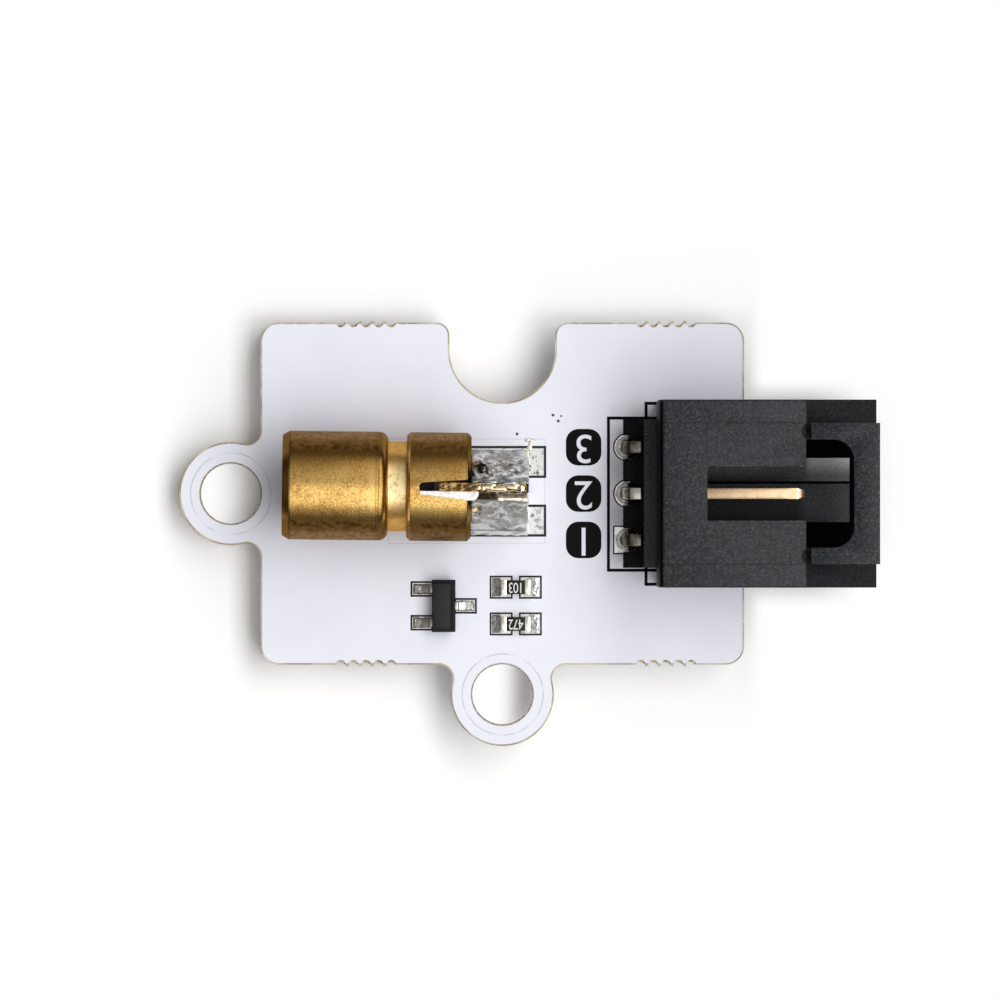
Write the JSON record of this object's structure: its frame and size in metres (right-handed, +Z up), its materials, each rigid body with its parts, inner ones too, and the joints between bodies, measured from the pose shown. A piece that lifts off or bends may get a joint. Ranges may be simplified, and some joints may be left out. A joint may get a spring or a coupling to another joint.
{
  "type": "laser diode module",
  "caption": "Small white circuit board with screw lugs, carrying a turned brass laser head, a transistor and chip resistors, and a right-angle latching pin header.",
  "frame": {"origin": "centre of the left lug's screw hole, on the board's mounting face", "axes": "+X from the laser's mouth to the header's mouth, +Z up from the mounting face to the parts' side"},
  "size_m": [0.0383, 0.0233, 0.0096],
  "materials": {
    "laminate": "glass-fibre laminate, tan at its cut edges",
    "solder_mask": "white solder mask, satin",
    "solder_land": "tin-plated copper lands",
    "brass": "turned brass with a mottled brown patina",
    "lens_glass": "clear lens",
    "black_ring": "black plastic ring",
    "driver_laminate": "thin laminate with gold-plated edges",
    "copper": "bare copper block",
    "diode_chip": "semiconductor chip",
    "solder": "reflowed and hand-laid tin solder",
    "chip_ceramic": "white alumina",
    "chip_coat": "black glaze with a plain white number",
    "chip_cap": "tinned end cap",
    "epoxy": "moulded black epoxy",
    "tinned_lead": "tinned copper lead",
    "header_plastic": "moulded black nylon, finely textured",
    "gold_pin": "gold flash on the mating end, tin on the tail"
  },
  "bodies": {
    "root": {"board_core": "laminate", "solder_mask_top": "solder_mask", "solder_mask_bottom": "solder_mask", "laser_pads": "solder_land", "transistor_pads": "solder_land", "resistor_pads": "solder_land", "header_pads": "solder_land", "laser_barrel": "brass", "lens_ring": "black_ring", "collimating_lens": "lens_glass", "driver_board": "driver_laminate", "diode_heatsink": "copper", "laser_diode": "diode_chip", "slot_solder": "solder", "laser_solder_left": "solder", "laser_solder_right": "solder", "driver_resistor_body": "chip_ceramic", "driver_resistor_caps": "chip_cap", "driver_resistor_solder": "solder", "transistor_body": "epoxy", "transistor_lead_1": "tinned_lead", "transistor_lead_2": "tinned_lead", "transistor_lead_3": "tinned_lead", "transistor_solder": "solder", "resistor_1_body": "chip_ceramic", "resistor_1_caps": "chip_cap", "resistor_1_coat": "chip_coat", "resistor_2_body": "chip_ceramic", "resistor_2_caps": "chip_cap", "resistor_2_coat": "chip_coat", "resistor_solder": "solder", "header_housing": "header_plastic", "header_pin_1": "gold_pin", "header_pin_2": "gold_pin", "header_pin_3": "gold_pin", "header_solder": "solder"}
  },
  "joints": []
}
